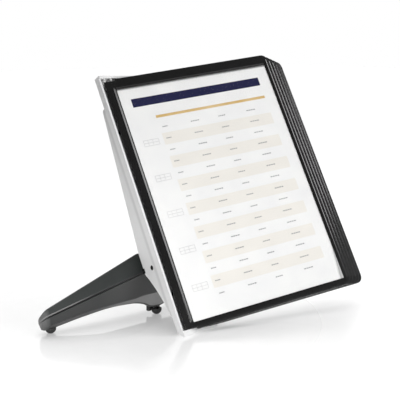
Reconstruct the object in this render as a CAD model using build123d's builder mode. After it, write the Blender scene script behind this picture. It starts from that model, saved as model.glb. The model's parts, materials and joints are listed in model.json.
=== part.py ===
from build123d import *
import math
import os

# Desktop document holder: a leaning sheet-metal holder carries five turning display panels,
# and a V shaped plastic base with two splayed legs props it up from behind.
# X runs to the right, Y to the back and Z up, in millimetres. The origin is on the floor,
# in the middle of the centre foot's contact face.

os.makedirs("parts", exist_ok=True)

# Stance
lean_angle = 60.0
holder_reach = 84.0
floor_cut = 400.0

# Pivot row: one pivot for each panel, stepping back from left to right
panel_count = 5
pivot_side_margin = 7.0
front_panel_angle = 14.4
fan_step = 1.1
page_gap = 0.15
swing_gap = 0.3

# Holder channel
holder_width = 52.0
sheet_wall = 1.2
lip_width = 2.5
lip_thickness = 1.2
lip_clearance = 0.3

# Pivot strips
top_strip_height = 3.2
bottom_strip_top = 5.3
strip_margin = 1.7
stand_thickness = 0.9
stand_height = 9.0
tenon_width = 5.0
tenon_height = 3.0
tenon_spacing = 20.0

# Display panels
hinge_bar = 14.0
free_bar = 8.0
top_bar = 15.5
bottom_bar = 8.5
pivot_inset = 3.0
pocket_wall = 0.5
hinge_thickness = 1.8
hinge_strip_width = 9.5
notch_width = 16.0
notch_height = 2.4
panel_corner_radius = 9.0
panel_top_gap = 2.6
thrust_gap = 0.3
bead_width = 2.6
bead_height = 0.35
free_bead_height = 0.6
free_bead_inset = 4.4
free_bead_top_inset = 6.0
hinge_bead_inset = 3.2

# Pocket, films and paper
paper_width = 210.0
paper_height = 297.0
paper_thickness = 0.25
paper_play = 0.2
paper_slack = 0.125
film_thickness = 0.25
film_edge_inset = 3.0
pocket_play = 0.5
window_side_lap = 2.5
window_end_lap = 4.5

# Hinge pins and bushes
pin_diameter = 1.2
pin_seat = 8.0
pin_reach = 2.6
pin_clearance = 0.05
bush_diameter = 3.0
bush_length = 4.8
bush_end_gap = 0.2

# Spine shell
spine_inset = 1.0
spine_wall = 1.5
spine_low = 24.0
spine_low_depth = 11.4
spine_deep_low = 83.0
spine_deep_high = 109.0
spine_depth = 34.5
spine_top_inset = 38.0
spine_high_depth = 14.5
spine_sag = 2.6
spine_corner_radius = 4.0
spine_screw_low = 50.0
spine_screw_top_inset = 33.0
spine_screw_diameter = 3.0
spine_screw_head = 5.4
spine_screw_length = 4.0
tab_size = 11.0

# Cross pin and the base's tongue
cross_pin_depth = 18.2
cross_pin_height = 86.2
cross_pin_diameter = 6.0
cross_pin_recess = 0.6
tongue_low = 72.0
tongue_neck_low = 93.0
tongue_high = 105.0
tongue_front = 11.0
tongue_side_gap = 0.3
tongue_wall = 3.0
neck_overlap = 6.0

# Base shells
half_span = 148.0
base_gap = 0.3
base_wall = 2.6
groove_width = 1.8
groove_depth = 1.4
seam_gap = 0.05
tip_round = 9.0
seam_at_spine = 91.5
crest_at_spine = 115.0
base_thickness = 37.0
crest_slope = 4.0
top_fall = 0.85
rear_seam_drop = 6.0
tip_front = 9.5
tip_thickness = 20.5
tip_crest = 28.0
tip_seam = 20.9
tip_drop = 1.3
tip_lift = 0.2
tip_angles = (0, 30, 55, 75)
crease_setback = 1.0
hub_setback = 6.0
tip_setback = 4.0
hollow_overrun = 5.0

# Legs' underside, from the middle outwards: distance, height of the edge, height of the crease
underside = [
    (0.0, 7.8, 30.6), (12.0, 8.0, 30.1), (18.0, 15.6, 29.7), (33.0, 18.9, 28.5),
    (61.0, 18.8, 26.8), (96.0, 13.2, 22.4), (half_span, 5.4, 13.0),
]

# Screws that join the base shells
base_screw_spread = 75.0
base_screw_diameter = 3.0
base_screw_head = 6.0
base_screw_head_height = 2.4
base_screw_length = 20.0
base_screw_below_seam = 12.0
base_screw_slack = 0.3
post_diameter = 9.0
centre_post_y = 14.5
centre_post_diameter = 15.0
centre_post_foot = 4.5

# Ball feet
foot_diameter = 12.4
foot_sink = 0.4
foot_stud_diameter = 6.0
foot_stud_low = 4.5
foot_top_gap = 0.8
tip_foot_inset = 15.0
centre_boss_diameter = 10.0
boss_height = 5.2

# Planes of the leaning holder. On spine, x runs across, y backwards and z up along the holder.
# On side, x runs backwards and y up along the holder.
lean = math.radians(lean_angle)
up_spine = Vector(0, math.cos(lean), math.sin(lean))
back_spine = Vector(0, math.sin(lean), -math.cos(lean))
spine = Plane(origin=(0, -holder_reach, 0), x_dir=(1, 0, 0), z_dir=up_spine)
side = Plane(origin=(0, -holder_reach, 0), x_dir=back_spine, z_dir=(1, 0, 0))

half_width = holder_width / 2
spine_half = half_width - spine_inset
first_pivot_x = pivot_side_margin - half_width
pivot_pitch = -2 * first_pivot_x / (panel_count - 1)

# The paper gives the window and the pocket, and these give the frame
window_width = paper_width - 2 * window_side_lap
window_height = paper_height - 2 * window_end_lap
pocket_thickness = 2 * film_thickness + paper_thickness + 2 * paper_slack
frame_thickness = pocket_thickness + 2 * pocket_wall

# The pivot row slants back just enough for each panel to clear the one in front of it
tight_angle = math.radians(front_panel_angle - (panel_count - 2) * fan_step)
page_pitch = frame_thickness + bead_height + page_gap
row_step_back = (page_pitch - pivot_pitch * math.sin(tight_angle)) / math.cos(tight_angle)

# The channel is deep enough for the rearmost hinge strip to swing in it
swing_radius = math.hypot(pivot_inset, hinge_thickness / 2)
back_front = (panel_count - 1) * row_step_back + swing_radius + swing_gap + stand_thickness
channel_depth = back_front + sheet_wall

# Heights along the holder, from the bottom strip through the panels to the top strip
hinge_low = bottom_strip_top + thrust_gap
panel_low = hinge_low - notch_height
panel_high = panel_low + bottom_bar + window_height + top_bar
strip_under = panel_high + panel_top_gap
holder_length = strip_under + top_strip_height
hinge_high = strip_under - bush_length - bush_end_gap
spine_high = holder_length - spine_top_inset
spine_screw_high = spine_high - spine_screw_top_inset
window_low = panel_low + bottom_bar
window_left = hinge_bar - pivot_inset
panel_right = window_left + window_width + free_bar
notch_end = notch_width - pivot_inset
pocket_left = window_left - (paper_width + pocket_play - window_width) / 2
pocket_low = window_low - (paper_height + pocket_play - window_height) / 2
pocket_height = paper_height + pocket_play

# Faces of the holder's back plate, with the screws' places on them
plate_front = Plane(
    origin=spine.from_local_coords((0, back_front, 0)), x_dir=(1, 0, 0), z_dir=-back_spine
)
plate_rear = plate_front.offset(-sheet_wall)
screw_centre = (0, (spine_screw_low + spine_screw_high) / 2)
screw_rise = spine_screw_high - spine_screw_low
tab_x = spine_half - spine_wall - tab_size / 2
screw_spread = 2 * tab_x
head_overhang = (spine_screw_head - spine_screw_diameter) / 2
head_taper = math.degrees(math.atan(head_overhang / sheet_wall))

# Cylinders that stand on their place or hang from it
standing = (Align.CENTER, Align.CENTER, Align.MIN)
hanging = (Align.CENTER, Align.CENTER, Align.MAX)


def row_depth(x):
    """Depth of the slanted pivot row at x across the holder."""
    return (x - first_pivot_x) * row_step_back / pivot_pitch


def pivot(index):
    """Place of a panel's pivot across and behind the holder's front line."""
    x = first_pivot_x + index * pivot_pitch
    return (x, row_depth(x))


def panel_plane(index):
    """Plane of a panel at rest: x from the pivot to the free edge, y up, z to the reader."""
    turn = math.radians(front_panel_angle - index * fan_step)
    across = Vector(1, 0, 0) * math.cos(turn) - back_spine * math.sin(turn)
    facing = Vector(1, 0, 0) * -math.sin(turn) - back_spine * math.cos(turn)
    x, depth = pivot(index)
    return Plane(origin=spine.from_local_coords((x, depth, 0)), x_dir=across, z_dir=facing)


def finish(part, name):
    """Name a finished piece and write it."""
    part.label = name
    export_step(part, f"parts/{name}.step")


# Holder channel: back plate down to the floor, side walls with lips along the pivot row
with BuildPart() as holder_channel:
    with BuildSketch(spine):
        with Locations((0, (back_front + channel_depth) / 2)):
            Rectangle(holder_width, sheet_wall)
    extrude(amount=holder_length)
    for hand in (-1, 1):
        outer = hand * half_width
        lip_end = hand * (half_width - lip_width)
        inner = hand * (half_width - sheet_wall)
        lip_back = row_depth(lip_end) + lip_clearance + lip_thickness
        with BuildSketch(spine.offset(bottom_strip_top)):
            with BuildLine():
                Polyline(
                    (outer, row_depth(outer) + lip_clearance),
                    (lip_end, row_depth(lip_end) + lip_clearance),
                    (lip_end, lip_back),
                    (inner, lip_back),
                    (inner, back_front),
                    (outer, back_front),
                    close=True,
                )
            make_face()
        extrude(amount=strip_under - bottom_strip_top)
    for level in (bottom_strip_top + stand_height / 2, strip_under - stand_height / 2):
        with BuildSketch(spine.offset(level - tenon_height / 2)):
            with GridLocations(tenon_spacing, 1, 2, 1):
                with Locations((0, (back_front + channel_depth) / 2)):
                    Rectangle(tenon_width, sheet_wall)
        extrude(amount=tenon_height, mode=Mode.SUBTRACT)
    with BuildSketch(plate_front):
        with Locations(screw_centre):
            with GridLocations(screw_spread, screw_rise, 2, 2):
                Circle(spine_screw_head / 2)
    extrude(amount=-sheet_wall, taper=head_taper, mode=Mode.SUBTRACT)
    with Locations((0, 0, -floor_cut / 2)):
        Box(floor_cut, floor_cut, floor_cut, mode=Mode.SUBTRACT)
finish(holder_channel.part, "holder_channel")


# Outline of a pivot strip, seen along the holder
strip_corners = [
    (-half_width, row_depth(-half_width) - strip_margin),
    (half_width, row_depth(half_width) - strip_margin),
    (half_width, back_front),
    (-half_width, back_front),
]

# Top pivot strip: blind pivot holes from below, and a downstand with two tenons in the back plate
with BuildPart() as top_pivot_strip:
    with BuildSketch(spine.offset(strip_under)):
        with BuildLine():
            Polyline(*strip_corners, close=True)
        make_face()
    extrude(amount=top_strip_height)
    with BuildSketch(spine.offset(strip_under)):
        with Locations((0, back_front - stand_thickness / 2)):
            Rectangle(holder_width - 2 * sheet_wall, stand_thickness)
    extrude(amount=-stand_height)
    with BuildSketch(spine.offset(strip_under - stand_height / 2 - tenon_height / 2)):
        with GridLocations(tenon_spacing, 1, 2, 1):
            with Locations((0, (back_front + channel_depth) / 2)):
                Rectangle(tenon_width, sheet_wall)
    extrude(amount=tenon_height)
    with BuildSketch(spine.offset(strip_under)):
        with Locations([pivot(index) for index in range(panel_count)]):
            Circle(pin_diameter / 2 + pin_clearance)
    extrude(amount=pin_reach + thrust_gap, mode=Mode.SUBTRACT)
finish(top_pivot_strip.part, "top_pivot_strip")

# Bottom pivot strip: cut level with the floor, with an upstand and two tenons
with BuildPart() as bottom_pivot_strip:
    with BuildSketch(spine.offset(bottom_strip_top)):
        with BuildLine():
            Polyline(*strip_corners, close=True)
        make_face()
    extrude(amount=-bottom_strip_top - strip_margin)
    with BuildSketch(spine.offset(bottom_strip_top)):
        with Locations((0, back_front - stand_thickness / 2)):
            Rectangle(holder_width - 2 * sheet_wall, stand_thickness)
    extrude(amount=stand_height)
    with BuildSketch(spine.offset(bottom_strip_top + stand_height / 2 - tenon_height / 2)):
        with GridLocations(tenon_spacing, 1, 2, 1):
            with Locations((0, (back_front + channel_depth) / 2)):
                Rectangle(tenon_width, sheet_wall)
    extrude(amount=tenon_height)
    with BuildSketch(spine.offset(bottom_strip_top)):
        with Locations([pivot(index) for index in range(panel_count)]):
            Circle(pin_diameter / 2 + pin_clearance)
    extrude(amount=-pin_reach - thrust_gap, mode=Mode.SUBTRACT)
    with Locations((0, 0, -floor_cut / 2)):
        Box(floor_cut, floor_cut, floor_cut, mode=Mode.SUBTRACT)
finish(bottom_pivot_strip.part, "bottom_pivot_strip")


# Spine shell: two side plates and a rear wall, open at the front and below the rear wall
sag_point = (
    (spine_depth + spine_low_depth) / 2 - spine_sag,
    (spine_deep_low + spine_low) / 2 + spine_sag / 2,
)
with BuildPart() as spine_shell:
    with BuildSketch(side.offset(-spine_half)) as spine_outline:
        with BuildLine():
            Polyline(
                (spine_low_depth, spine_low),
                (channel_depth, spine_low),
                (channel_depth, spine_high),
                (spine_high_depth, spine_high),
                (spine_depth, spine_deep_high),
                (spine_depth, spine_deep_low),
            )
            ThreePointArc((spine_depth, spine_deep_low), sag_point, (spine_low_depth, spine_low))
        make_face()
        top_corners = spine_outline.vertices().group_by(Axis.Y)[-1]
        fillet(top_corners.sort_by(Axis.X)[-1:], spine_corner_radius)
    extrude(amount=2 * spine_half)
    with BuildSketch(side.offset(spine_wall - spine_half)):
        with BuildLine():
            Polyline(
                (0, 0),
                (2 * spine_depth, 0),
                (2 * spine_depth, spine_deep_high),
                (spine_depth - spine_wall, spine_deep_high),
                (spine_high_depth - spine_wall, spine_high - spine_wall),
                (0, spine_high - spine_wall),
                close=True,
            )
        make_face()
    extrude(amount=2 * (spine_half - spine_wall), mode=Mode.SUBTRACT)
    for hand in (-1, 1):
        for level in (spine_screw_low, spine_screw_high):
            with BuildSketch(spine.offset(level - tab_size / 2)):
                with Locations((hand * tab_x, channel_depth + spine_wall / 2)):
                    Rectangle(tab_size, spine_wall)
            extrude(amount=tab_size)
    with BuildSketch(plate_rear):
        with Locations(screw_centre):
            with GridLocations(screw_spread, screw_rise, 2, 2):
                Circle(spine_screw_diameter / 2)
    extrude(amount=-spine_wall, mode=Mode.SUBTRACT)
    with BuildSketch(side.offset(-half_width)):
        with Locations((cross_pin_depth, cross_pin_height)):
            Circle(cross_pin_diameter / 2)
    extrude(amount=holder_width, mode=Mode.SUBTRACT)
finish(spine_shell.part, "spine_shell")

# Four countersunk screws from the channel into the spine's tabs
with BuildPart() as spine_screws:
    with BuildSketch(plate_front):
        with Locations(screw_centre):
            with GridLocations(screw_spread, screw_rise, 2, 2):
                Circle(spine_screw_head / 2)
    extrude(amount=-sheet_wall, taper=head_taper)
    with BuildSketch(plate_rear):
        with Locations(screw_centre):
            with GridLocations(screw_spread, screw_rise, 2, 2):
                Circle(spine_screw_diameter / 2)
    extrude(amount=-(spine_screw_length - sheet_wall))
finish(spine_screws.part, "spine_screws")

# Cross pin, a little below the side plates' faces
with BuildPart() as cross_pin:
    with BuildSketch(side.offset(cross_pin_recess - spine_half)):
        with Locations((cross_pin_depth, cross_pin_height)):
            Circle(cross_pin_diameter / 2)
    extrude(amount=2 * (spine_half - cross_pin_recess))
finish(cross_pin.part, "cross_pin")


# Base: sections across each leg, worked out between the middle and the tip
def blend(first, last, share):
    """Point between two points."""
    return tuple(a + (b - a) * share for a, b in zip(first, last))


def to_yz(depth, level):
    """A point of the leaning holder's side view, as upright Y and Z."""
    point = spine.from_local_coords((0, depth, level))
    return (point.Y, point.Z)


mid_seam = to_yz(spine_depth + base_gap, seam_at_spine)
mid_crest = to_yz(spine_depth + base_gap, crest_at_spine)


def underside_at(reach):
    """Heights of the leg's lower edge and front crease at a reach from the middle."""
    for first, last in zip(underside, underside[1:]):
        if reach <= last[0]:
            break
    share = (reach - first[0]) / (last[0] - first[0])
    return blend(first[1:], last[1:], share)


def leg_points(reach):
    """Corners of the leg's section: seam, crests, rear seam, lower edges and front crease."""
    share = reach / half_span
    edge, crease = underside_at(reach)
    depth = base_thickness + (tip_thickness - base_thickness) * share
    seam = blend(mid_seam, (tip_front, tip_seam), share)
    crest = blend(mid_crest, (tip_front + crest_slope, tip_crest), share)
    rear = seam[0] + depth
    rear_seam = (rear, seam[1] - rear_seam_drop)
    rear_crest = (rear - crest_slope, crest[1] - top_fall * (rear - crest_slope - crest[0]))
    low_front = (seam[0] + hub_setback + (tip_setback - hub_setback) * share, edge)
    low_rear = (rear - crest_slope, edge)
    front_crease = (seam[0] + crease_setback, crease)
    return seam, crest, rear_crest, rear_seam, low_rear, low_front, front_crease


def shrink(points, inset):
    """Draw a section in towards its middle, for the tip that falls off at its top."""
    middle_y = (points[0][0] + points[3][0]) / 2
    waist = points[6][1]
    reach_y = max(abs(y - middle_y) for y, z in points)
    keep_y = (reach_y - inset) / reach_y
    keep_top = 1 - inset * tip_drop / (points[1][1] - waist)
    keep_low = 1 - inset * tip_lift / (waist - points[5][1])
    drawn = []
    for y, z in points:
        keep_z = keep_top if z > waist else keep_low
        drawn.append((middle_y + (y - middle_y) * keep_y, waist + (z - waist) * keep_z))
    return drawn


def leg_sections():
    """Sections of the leg from the middle to the rounded tip, as reach and corners."""
    sections = [(station[0], leg_points(station[0])) for station in underside[:-1]]
    for angle in tip_angles:
        turn = math.radians(angle)
        reach = half_span - tip_round + tip_round * math.sin(turn)
        sections.append((reach, shrink(leg_points(reach), tip_round * (1 - math.cos(turn)))))
    return sections


def inset_polygon(points, wall):
    """Move every side of a convex polygon inwards by a wall."""
    middle = [sum(p[i] for p in points) / len(points) for i in (0, 1)]
    lines = []
    for first, last in zip(points, points[1:] + points[:1]):
        along = (last[0] - first[0], last[1] - first[1])
        size = math.hypot(*along)
        normal = (-along[1] / size, along[0] / size)
        inward = normal[0] * (middle[0] - first[0]) + normal[1] * (middle[1] - first[1])
        if inward < 0:
            normal = (-normal[0], -normal[1])
        lines.append((normal, normal[0] * first[0] + normal[1] * first[1] + wall))
    corners = []
    for (n1, d1), (n2, d2) in zip(lines[-1:] + lines[:-1], lines):
        cross = n1[0] * n2[1] - n1[1] * n2[0]
        corners.append(((d1 * n2[1] - d2 * n1[1]) / cross, (n1[0] * d2 - n2[0] * d1) / cross))
    return corners


def beyond(start, end, extra):
    """The point that lies past end, on the line from start."""
    size = math.hypot(end[0] - start[0], end[1] - start[1])
    return blend(start, end, 1 + extra / size)


def section_plane(reach):
    """Upright plane across the leg at a reach from the middle: x backwards, y up."""
    return Plane(origin=(reach, 0, 0), x_dir=(0, 1, 0), z_dir=(1, 0, 0))


def upper_outline(points):
    """Outer corners of the upper shell in one section."""
    return points[0:4]


def lower_outline(points):
    """Outer corners of the lower shell in one section, with the groove below the seam."""
    seam, rear_seam, low_rear, low_front, crease = points[0], points[3], points[4], points[5], points[6]
    front_step = beyond(crease, seam, -groove_width)
    rear_step = beyond(low_rear, rear_seam, -groove_width)
    front_rim = beyond(rear_seam, seam, -groove_depth)
    rear_rim = beyond(seam, rear_seam, -groove_depth)
    return [
        (front_rim[0], front_rim[1] - seam_gap),
        (front_step[0] + groove_depth, front_step[1]),
        front_step,
        crease,
        low_front,
        low_rear,
        rear_step,
        (rear_step[0] - groove_depth, rear_step[1]),
        (rear_rim[0], rear_rim[1] - seam_gap),
    ]


def upper_hollow(points):
    """Corners of the hollow of the upper shell, open below the seam."""
    seam, crest, rear_crest, rear_seam = points[0:4]
    low_front = beyond(crest, seam, hollow_overrun)
    low_rear = beyond(rear_crest, rear_seam, hollow_overrun)
    return inset_polygon([low_front, crest, rear_crest, low_rear], base_wall)


def lower_hollow(points):
    """Corners of the hollow of the lower shell, open above the seam."""
    seam, rear_seam, low_rear, low_front, crease = points[0], points[3], points[4], points[5], points[6]
    high_front = beyond(crease, seam, hollow_overrun)
    high_rear = beyond(low_rear, rear_seam, hollow_overrun)
    return inset_polygon([high_front, high_rear, low_rear, low_front, crease], base_wall)


sections = leg_sections()
hollow_sections = sections[: len(underside)]
leg_middle = leg_points(base_screw_spread)
leg_post_y = (leg_middle[0][0] + leg_middle[3][0]) / 2
leg_seat = leg_middle[3][1] - base_screw_below_seam
centre_seat = mid_seam[1] - base_screw_below_seam
posts = [
    (-base_screw_spread, leg_post_y, leg_seat),
    (0, centre_post_y, centre_seat),
    (base_screw_spread, leg_post_y, leg_seat),
]
tip_foot_x = half_span - tip_foot_inset
foot_section = leg_points(tip_foot_x)
tip_foot_y = (foot_section[0][0] + foot_section[3][0]) / 2
tip_feet = [(-tip_foot_x, tip_foot_y), (tip_foot_x, tip_foot_y)]
tip_foot_top = underside_at(tip_foot_x)[0] - foot_top_gap
centre_foot_top = underside[0][1] - foot_top_gap

# Hollow of the upper shell, with the screw posts left standing
with BuildPart() as upper_room:
    for reach, points in hollow_sections:
        with BuildSketch(section_plane(reach)):
            with BuildLine():
                Polyline(*upper_hollow(points), close=True)
            make_face()
    loft(ruled=True)
    mirror(about=Plane.YZ)
    for x, y, seat in posts:
        with Locations((x, y, seat)):
            Cylinder(post_diameter / 2, floor_cut, mode=Mode.SUBTRACT)

# Upper shell: both legs' upper bands, and the tongue that enters the spine
tongue_half = spine_half - spine_wall - tongue_side_gap
with BuildPart() as base_upper_shell:
    for reach, points in sections:
        with BuildSketch(section_plane(reach)):
            with BuildLine():
                Polyline(*upper_outline(points), close=True)
            make_face()
    loft(ruled=True)
    mirror(about=Plane.YZ)
    with BuildSketch(side.offset(-tongue_half)):
        with BuildLine():
            Polyline(
                (tongue_front, tongue_low),
                (spine_depth, tongue_low + (tongue_neck_low - tongue_low) / 2),
                (spine_depth, tongue_neck_low),
                (spine_depth + neck_overlap, tongue_neck_low),
                (spine_depth + neck_overlap, tongue_high),
                (tongue_front, tongue_high),
                close=True,
            )
        make_face()
    extrude(amount=2 * tongue_half)
    add(upper_room.part, mode=Mode.SUBTRACT)
    with BuildSketch(side.offset(tongue_wall - tongue_half)):
        with BuildLine():
            Polyline(
                (cross_pin_depth + cross_pin_diameter, tongue_neck_low + tongue_wall),
                (spine_depth + neck_overlap, tongue_neck_low + tongue_wall),
                (spine_depth + neck_overlap, tongue_high - tongue_wall),
                (cross_pin_depth + cross_pin_diameter, tongue_high - tongue_wall),
                close=True,
            )
        make_face()
    extrude(amount=2 * (tongue_half - tongue_wall), mode=Mode.SUBTRACT)
    with BuildSketch(side.offset(-half_width)):
        with Locations((cross_pin_depth, cross_pin_height)):
            Circle(cross_pin_diameter / 2)
    extrude(amount=holder_width, mode=Mode.SUBTRACT)
    for x, y, seat in posts:
        with Locations((x, y, seat)):
            Cylinder(base_screw_diameter / 2, base_screw_length, align=standing, mode=Mode.SUBTRACT)
finish(base_upper_shell.part, "base_upper_shell")

# Hollow of the lower shell, with the screw posts left standing
with BuildPart() as lower_room:
    for reach, points in hollow_sections:
        with BuildSketch(section_plane(reach)):
            with BuildLine():
                Polyline(*lower_hollow(points), close=True)
            make_face()
    loft(ruled=True)
    mirror(about=Plane.YZ)
    for x, y, seat in posts:
        with Locations((x, y, seat)):
            Cylinder(post_diameter / 2, floor_cut, mode=Mode.SUBTRACT)

# Lower shell: both legs' lower bands, the screw posts and the studs for the feet
with BuildPart() as base_lower_shell:
    for reach, points in sections:
        with BuildSketch(section_plane(reach)):
            with BuildLine():
                Polyline(*lower_outline(points), close=True)
            make_face()
    loft(ruled=True)
    mirror(about=Plane.YZ)
    add(lower_room.part, mode=Mode.SUBTRACT)
    with Locations((0, centre_post_y, centre_post_foot)):
        Cylinder(centre_post_diameter / 2, underside[0][1], align=standing)
    with Locations((0, 0, centre_foot_top)):
        Cylinder(centre_boss_diameter / 2, boss_height, align=standing)
    with Locations([(x, y, foot_stud_low) for x, y in tip_feet]):
        Cylinder(foot_stud_diameter / 2, boss_height, align=standing)
    with Locations((0, 0, foot_stud_low)):
        Cylinder(foot_stud_diameter / 2, centre_foot_top + boss_height - foot_stud_low, align=standing)
    for x, y, seat in posts:
        with Locations((x, y, seat)):
            Cylinder(base_screw_diameter / 2, floor_cut, mode=Mode.SUBTRACT)
            head_bore = base_screw_head / 2 + base_screw_slack
            Cylinder(head_bore, floor_cut, align=hanging, mode=Mode.SUBTRACT)
finish(base_lower_shell.part, "base_lower_shell")

# Three screws that hold the base shells together
with BuildPart() as base_screws:
    for x, y, seat in posts:
        with Locations((x, y, seat)):
            Cylinder(base_screw_diameter / 2, base_screw_length, align=standing)
            Cylinder(base_screw_head / 2, base_screw_head_height, align=hanging)
finish(base_screws.part, "base_screws")

# Rubber ball feet, flat where they stand, pushed on to the studs
feet = [
    ("left_foot", -tip_foot_x, tip_foot_y, tip_foot_top),
    ("right_foot", tip_foot_x, tip_foot_y, tip_foot_top),
    ("centre_foot", 0, 0, centre_foot_top),
]
for name, x, y, top in feet:
    with BuildPart() as foot:
        with Locations((x, y, foot_diameter / 2 - foot_sink)):
            Sphere(foot_diameter / 2)
        with Locations((x, y, top / 2)):
            Box(foot_diameter, foot_diameter, top, mode=Mode.INTERSECT)
        with Locations((x, y, foot_stud_low)):
            Cylinder(foot_stud_diameter / 2, foot_diameter, align=standing, mode=Mode.SUBTRACT)
    finish(foot.part, name)

# Display panels
for index in range(panel_count):
    page = panel_plane(index)
    pivot_spot = pivot(index)
    panel = f"panel_{index + 1}"

    # Frame: thin hinge strip, four bars round the window, a pocket open at the free edge
    with BuildPart() as frame:
        with BuildSketch(page.offset(-frame_thickness / 2)) as outline:
            with Locations(((notch_end + panel_right) / 2, (panel_low + panel_high) / 2)):
                Rectangle(panel_right - notch_end, panel_high - panel_low)
            fillet(outline.vertices().sort_by(Axis.X)[-2:], panel_corner_radius)
            inner_left = hinge_strip_width - pivot_inset
            with Locations(((inner_left + notch_end) / 2, (hinge_low + hinge_high) / 2)):
                Rectangle(notch_end - inner_left, hinge_high - hinge_low)
        extrude(amount=frame_thickness)
        with BuildSketch(page.offset(-hinge_thickness / 2)):
            with Locations((hinge_strip_width / 2 - pivot_inset, (hinge_low + hinge_high) / 2)):
                Rectangle(hinge_strip_width, hinge_high - hinge_low)
        extrude(amount=hinge_thickness)
        with BuildSketch(page.offset(frame_thickness / 2)):
            with Locations((panel_right - free_bead_inset, window_low)):
                free_bead_length = panel_high - free_bead_top_inset - window_low
                Rectangle(bead_width, free_bead_length, align=(Align.CENTER, Align.MIN))
        extrude(amount=free_bead_height)
        with BuildSketch(page.offset(frame_thickness / 2)):
            with Locations((window_left - hinge_bead_inset, window_low)):
                Rectangle(bead_width, window_height, align=(Align.CENTER, Align.MIN))
        extrude(amount=bead_height)
        with BuildSketch(page.offset(-frame_thickness)):
            with Locations((window_left + window_width / 2, window_low + window_height / 2)):
                Rectangle(window_width, window_height)
        extrude(amount=2 * frame_thickness, mode=Mode.SUBTRACT)
        with BuildSketch(page.offset(-pocket_thickness / 2)):
            with Locations((pocket_left, pocket_low)):
                Rectangle(panel_right, pocket_height, align=(Align.MIN, Align.MIN))
        extrude(amount=pocket_thickness, mode=Mode.SUBTRACT)
        for level, depth in ((hinge_low, pin_seat), (hinge_high, -pin_seat)):
            with BuildSketch(spine.offset(level)):
                with Locations(pivot_spot):
                    Circle(pin_diameter / 2)
            extrude(amount=depth, mode=Mode.SUBTRACT)
    finish(frame.part, f"{panel}_frame")

    # Clear films, welded in at the front and the rear of the pocket
    film_width = panel_right - film_edge_inset - pocket_left
    front_film_back = pocket_thickness / 2 - film_thickness
    for film_name, film_face in (("front_film", front_film_back), ("rear_film", -pocket_thickness / 2)):
        with BuildPart() as film:
            with BuildSketch(page.offset(film_face)):
                with Locations((pocket_left, pocket_low)):
                    Rectangle(film_width, pocket_height, align=(Align.MIN, Align.MIN))
            extrude(amount=film_thickness)
        finish(film.part, f"{panel}_{film_name}")

    # Paper sheet between the films
    with BuildPart() as sheet:
        with BuildSketch(page.offset(-paper_thickness / 2)):
            with Locations((pocket_left + paper_play, pocket_low + paper_play)):
                Rectangle(paper_width, paper_height, align=(Align.MIN, Align.MIN))
        extrude(amount=paper_thickness)
    finish(sheet.part, f"{panel}_sheet")

    # Steel hinge pins, seated in the hinge strip's two ends
    with BuildPart() as hinge_pins:
        for level, length in (
            (bottom_strip_top - pin_reach, hinge_low + pin_seat - bottom_strip_top + pin_reach),
            (hinge_high - pin_seat, strip_under + pin_reach - hinge_high + pin_seat),
        ):
            with BuildSketch(spine.offset(level)):
                with Locations(pivot_spot):
                    Circle(pin_diameter / 2)
            extrude(amount=length)
    finish(hinge_pins.part, f"{panel}_hinge_pins")

    # Bush on the upper pin, between the hinge strip and the top pivot strip
    with BuildPart() as hinge_bush:
        with BuildSketch(spine.offset(hinge_high)):
            with Locations(pivot_spot):
                Circle(bush_diameter / 2)
                Circle(pin_diameter / 2, mode=Mode.SUBTRACT)
        extrude(amount=bush_length)
    finish(hinge_bush.part, f"{panel}_hinge_bush")
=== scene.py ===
import json
import math

import bmesh
import bpy
from mathutils import Matrix, Vector
from mathutils.geometry import tessellate_polygon


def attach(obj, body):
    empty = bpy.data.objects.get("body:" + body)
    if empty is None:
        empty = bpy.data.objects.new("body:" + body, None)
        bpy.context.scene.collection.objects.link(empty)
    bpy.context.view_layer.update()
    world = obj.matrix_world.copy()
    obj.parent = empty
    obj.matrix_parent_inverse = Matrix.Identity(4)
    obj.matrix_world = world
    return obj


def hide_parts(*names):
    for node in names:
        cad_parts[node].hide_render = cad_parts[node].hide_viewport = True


# Looks of the document holder: five turning panels on a leaning metal holder with a splayed base.
# Shapes are worked out in millimetres in the part's frame and scaled to metres as they are finished.

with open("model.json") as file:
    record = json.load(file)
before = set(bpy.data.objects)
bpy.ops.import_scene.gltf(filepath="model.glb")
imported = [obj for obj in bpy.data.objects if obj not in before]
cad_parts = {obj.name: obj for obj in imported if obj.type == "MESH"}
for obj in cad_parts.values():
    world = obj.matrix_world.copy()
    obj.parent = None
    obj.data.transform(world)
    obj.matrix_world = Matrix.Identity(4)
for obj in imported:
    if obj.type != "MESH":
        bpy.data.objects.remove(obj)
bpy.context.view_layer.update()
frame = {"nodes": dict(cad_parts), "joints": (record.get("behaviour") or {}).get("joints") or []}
nodes = frame["nodes"]
joints = {joint["name"]: joint for joint in frame["joints"]}

MM = 0.001
PANELS = range(1, 6)
QUARTER_TURN = math.pi / 2

# Panels: bars round the window, measured across and up a panel from its pivot
hinge_bar = 12.3
free_bar = 8.0
top_bar = 15.5
bottom_bar = 8.5
window_width = 205.0
window_height = 288.0
panel_left = -1.3
panel_low = 3.2
notch_height = 2.4
notch_end = 13.0
notch_radius = 1.2
hinge_high = 312.8
frame_thickness = 2.0
pocket_thickness = 1.0
corner_radius = 9.0
window_radius = 1.0
bar_edge = 0.35
web_inset = 0.1

# Lip and bevel round the window, and the ribs along the side bars
window_lip = 1.3
lip_face = 0.56
window_bevel = 3.8
rib_height = 0.42
rib_crest = 0.2
rib_rise = 0.6
rib_end_steps = 4
free_rib_fall = 1.35
free_rib_inset = 4.1
free_rib_top_inset = 6.0

# Painted shadow that fades out below the top bar, and the painted shade in the gap beside the sheet's lower
# corner
shade_height = 6.0
shade_full = 0.3
shade_rise = 4.5
shade_density = 0.95
gap_width = 4.5
gap_height = 42.0

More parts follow.
